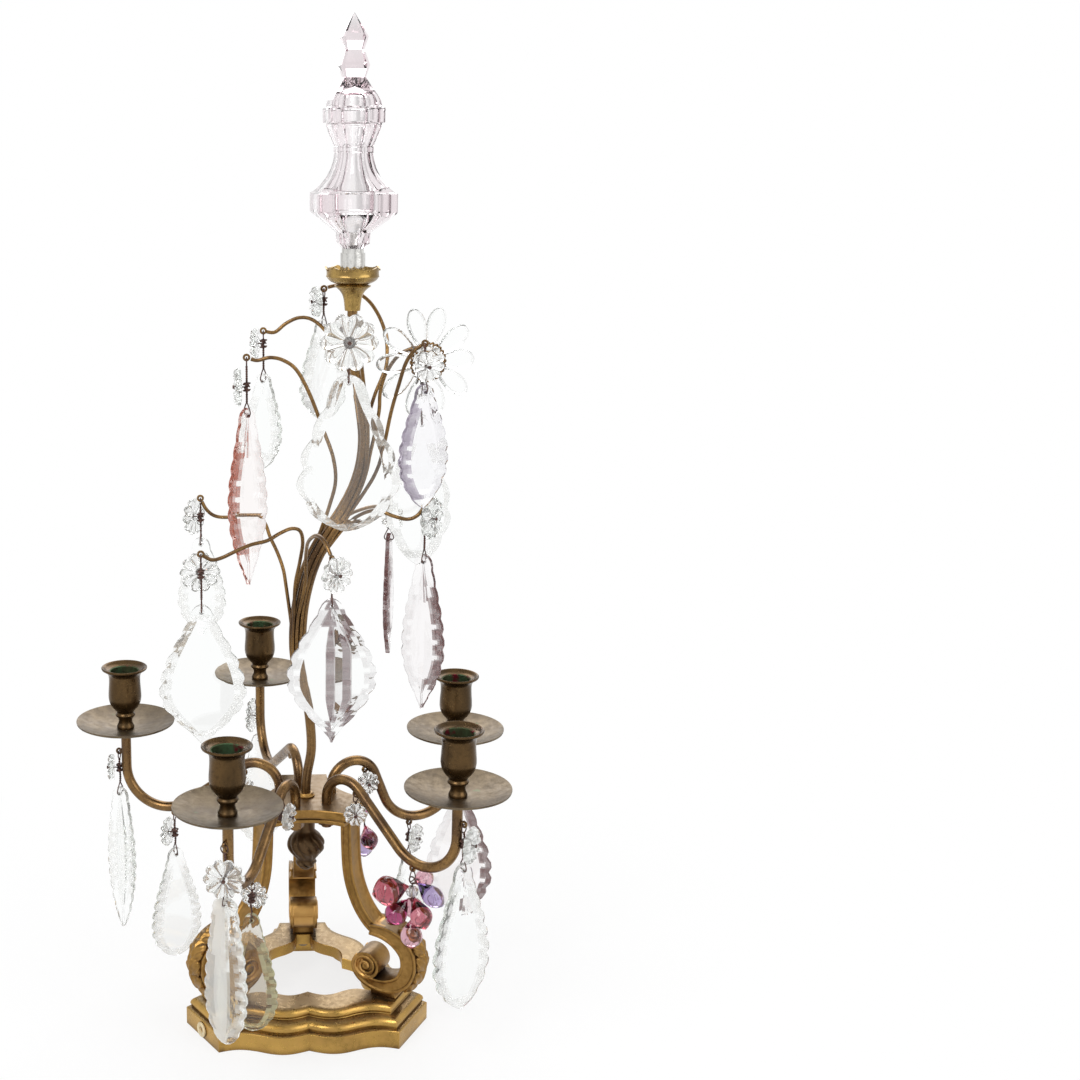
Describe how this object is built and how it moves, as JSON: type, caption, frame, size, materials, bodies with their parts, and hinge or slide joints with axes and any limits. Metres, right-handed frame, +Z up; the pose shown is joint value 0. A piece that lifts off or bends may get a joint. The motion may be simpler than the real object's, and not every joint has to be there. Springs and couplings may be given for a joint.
{
  "type": "girandole candle holder",
  "caption": "Branched gilt bronze candle holder on a scroll-legged base, with drip pans, candle cups, a wire tree hung with cut-glass drops, and a glass finial.",
  "frame": {"origin": "on the axis of the base, at the level it stands on", "axes": "+Z up along the axis of the stand; -Y to the front, where a side of the base faces; +X to the right as seen from the front"},
  "size_m": [0.321, 0.3375, 0.7193],
  "materials": {
    "gilt_bronze": "aged gilt bronze, worn to brown in the hollows",
    "dark_bronze": "dark chased bronze",
    "brass_tube": "aged brass tube and wire",
    "dull_brass": "dull turned brass with green patches",
    "steel": "plain steel",
    "grey_metal": "dull grey metal",
    "iron_wire": "rusted iron wire",
    "ivory_plastic": "aged ivory plastic",
    "clear_glass": "cut and polished",
    "rose_glass": "cut and polished, faint rose tint",
    "pink_glass": "cut and polished",
    "lilac_glass": "cut and polished",
    "mauve_glass": "cut and polished",
    "smoky_glass": "cut and polished",
    "purple_glass": "smooth drops"
  },
  "bodies": {
    "stand": {"base_plinth": "gilt_bronze", "cable_grommet": "ivory_plastic", "leg_front_left": "gilt_bronze", "leg_front_right": "gilt_bronze", "leg_back": "gilt_bronze", "acanthus_leaves": "gilt_bronze", "leg_screws": "steel", "platform": "gilt_bronze", "pinecone_knop": "dark_bronze", "arm_nuts": "brass_tube", "arm_front_left": "brass_tube", "arm_front_right": "brass_tube", "arm_right": "brass_tube", "arm_back": "brass_tube", "arm_left": "brass_tube", "drip_pan_front_left": "dull_brass", "drip_pan_front_right": "dull_brass", "drip_pan_right": "dull_brass", "drip_pan_back": "dull_brass", "drip_pan_left": "dull_brass", "candle_cup_front_left": "dull_brass", "candle_cup_front_right": "dull_brass", "candle_cup_right": "dull_brass", "candle_cup_back": "dull_brass", "candle_cup_left": "dull_brass", "stem_collar": "gilt_bronze", "main_stem": "brass_tube", "branch_wires": "brass_tube", "gallery_cup": "gilt_bronze", "hook_wires": "iron_wire", "rosettes_on_tree": "clear_glass", "rosettes_on_arms": "clear_glass", "daisy_hub": "clear_glass", "daisy_petals": "clear_glass"},
    "finial": {"finial_sleeve": "grey_metal", "glass_finial": "rose_glass"},
    "pendant_top": {"pendant_top": "clear_glass"},
    "pendant_back_left": {"pendant_back_left": "clear_glass"},
    "pendant_pink_spear": {"pendant_pink_spear": "pink_glass"},
    "pendant_front_leaf": {"pendant_front_leaf": "clear_glass"},
    "pendant_lilac": {"pendant_lilac": "lilac_glass"},
    "pendant_daisy_leaf": {"pendant_daisy_leaf": "clear_glass"},
    "pendant_mauve_spear": {"pendant_mauve_spear": "mauve_glass"},
    "pendant_small_left": {"pendant_small_left": "clear_glass"},
    "pendant_left_kite": {"pendant_left_kite": "clear_glass"},
    "pendant_front_kite": {"pendant_front_kite": "clear_glass"},
    "pendant_mauve_back": {"pendant_mauve_back": "mauve_glass"},
    "pendant_left_icicle": {"pendant_left_icicle": "clear_glass"},
    "pendant_left_pear": {"pendant_left_pear": "clear_glass"},
    "pendant_front_left_prism": {"pendant_front_left_prism": "clear_glass"},
    "pendant_smoky": {"pendant_smoky": "smoky_glass"},
    "pendant_front_right": {"pendant_front_right": "clear_glass"},
    "pendant_right_leaf": {"pendant_right_leaf": "mauve_glass"},
    "pendant_right_pear": {"pendant_right_pear": "clear_glass"},
    "pendant_back_pear": {"pendant_back_pear": "clear_glass"},
    "grape_cluster": {"grape_cluster": "purple_glass"},
    "grape_pair": {"grape_pair": "purple_glass"}
  },
  "joints": [
    {"name": "finial_lift", "type": "slide", "parent": "stand", "child": "finial", "axis": [0, 0, 1], "range_m": [0, 0.045]},
    {"name": "pendant_top_swing", "type": "hinge", "parent": "stand", "child": "pendant_top", "pos_m": [0.014, 0.035, 0.5095], "axis": [0.5, -0.866, 0], "range_deg": [-10, 10]},
    {"name": "pendant_back_left_swing", "type": "hinge", "parent": "stand", "child": "pendant_back_left", "pos_m": [-0.029, 0.03, 0.4715], "axis": [-0.6428, -0.766, 0], "range_deg": [-10, 10]},
    {"name": "pendant_pink_spear_swing", "type": "hinge", "parent": "stand", "child": "pendant_pink_spear", "pos_m": [-0.041, -0.024, 0.4555], "axis": [0.6428, -0.766, 0], "range_deg": [-8, 8]},
    {"name": "pendant_front_leaf_swing", "type": "hinge", "parent": "stand", "child": "pendant_front_leaf", "pos_m": [0.025, -0.073, 0.4845], "axis": [0.0349, -0.9994, 0], "range_deg": [-10, 10]},
    {"name": "pendant_lilac_swing", "type": "hinge", "parent": "stand", "child": "pendant_lilac", "pos_m": [0.077, -0.05, 0.475], "axis": [0.5, -0.866, 0], "range_deg": [-10, 10]},
    {"name": "pendant_daisy_leaf_swing", "type": "hinge", "parent": "stand", "child": "pendant_daisy_leaf", "pos_m": [0.079, -0.006, 0.4459], "axis": [-0.0349, -0.9994, 0], "range_deg": [-8, 8]},
    {"name": "pendant_mauve_spear_swing", "type": "hinge", "parent": "stand", "child": "pendant_mauve_spear", "pos_m": [0.082, -0.02, 0.3509], "axis": [-0.5736, -0.8192, 0], "range_deg": [-10, 10]},
    {"name": "pendant_small_left_swing", "type": "hinge", "parent": "stand", "child": "pendant_small_left", "pos_m": [-0.075, 0.028, 0.353], "axis": [-0.1736, -0.9848, 0], "range_deg": [-10, 10]},
    {"name": "pendant_left_kite_swing", "type": "hinge", "parent": "stand", "child": "pendant_left_kite", "pos_m": [-0.073, -0.05, 0.3245], "axis": [-0.0349, -0.9994, 0], "range_deg": [-10, 10]},
    {"name": "pendant_front_kite_swing", "type": "hinge", "parent": "stand", "child": "pendant_front_kite", "pos_m": [0.014, -0.086, 0.3379], "axis": [0.0698, -0.9976, 0], "range_deg": [-10, 10]},
    {"name": "pendant_mauve_back_swing", "type": "hinge", "parent": "stand", "child": "pendant_mauve_back", "pos_m": [0.065, 0.068, 0.3455], "axis": [0.9659, -0.2588, 0], "range_deg": [-10, 10]},
    {"name": "pendant_left_icicle_swing", "type": "hinge", "parent": "stand", "child": "pendant_left_icicle", "pos_m": [-0.13909, 0.03988, 0.1565], "axis": [-0.5736, -0.8192, 0], "range_deg": [-10, 10]},
    {"name": "pendant_left_pear_swing", "type": "hinge", "parent": "stand", "child": "pendant_left_pear", "pos_m": [-0.09778, 0.02804, 0.11177], "axis": [0.5, -0.866, 0], "range_deg": [-8, 8]},
    {"name": "pendant_front_left_prism_swing", "type": "hinge", "parent": "stand", "child": "pendant_front_left_prism", "pos_m": [-0.05804, -0.13036, 0.147], "axis": [-0.4695, -0.8829, 0], "range_deg": [-10, 10]},
    {"name": "pendant_smoky_swing", "type": "hinge", "parent": "stand", "child": "pendant_smoky", "pos_m": [-0.04056, -0.0911, 0.11577], "axis": [-0.1736, -0.9848, 0], "range_deg": [-10, 10]},
    {"name": "pendant_front_right_swing", "type": "hinge", "parent": "stand", "child": "pendant_front_right", "pos_m": [0.10363, -0.09664, 0.153], "axis": [0.5, -0.866, 0], "range_deg": [-10, 10]},
    {"name": "pendant_right_leaf_swing", "type": "hinge", "parent": "stand", "child": "pendant_right_leaf", "pos_m": [0.1198, 0.04125, 0.147], "axis": [-0.342, -0.9397, 0], "range_deg": [-10, 10]},
    {"name": "pendant_right_pear_swing", "type": "hinge", "parent": "stand", "child": "pendant_right_pear", "pos_m": [0.07916, 0.02726, 0.10576], "axis": [0.5, -0.866, 0], "range_deg": [-10, 10]},
    {"name": "pendant_back_pear_swing", "type": "hinge", "parent": "stand", "child": "pendant_back_pear", "pos_m": [-0.03345, 0.14489, 0.159], "axis": [-0.1736, 0.9848, 0], "range_deg": [-10, 10]},
    {"name": "grape_cluster_swing", "type": "hinge", "parent": "stand", "child": "grape_cluster", "pos_m": [0.0722, -0.06733, 0.13226], "axis": [-0.682, -0.7314, 0], "range_deg": [-10, 10]},
    {"name": "grape_pair_swing", "type": "hinge", "parent": "stand", "child": "grape_pair", "pos_m": [0.04444, 0.0153, 0.15831], "axis": [-0.9455, -0.3256, 0], "range_deg": [-10, 10]}
  ]
}
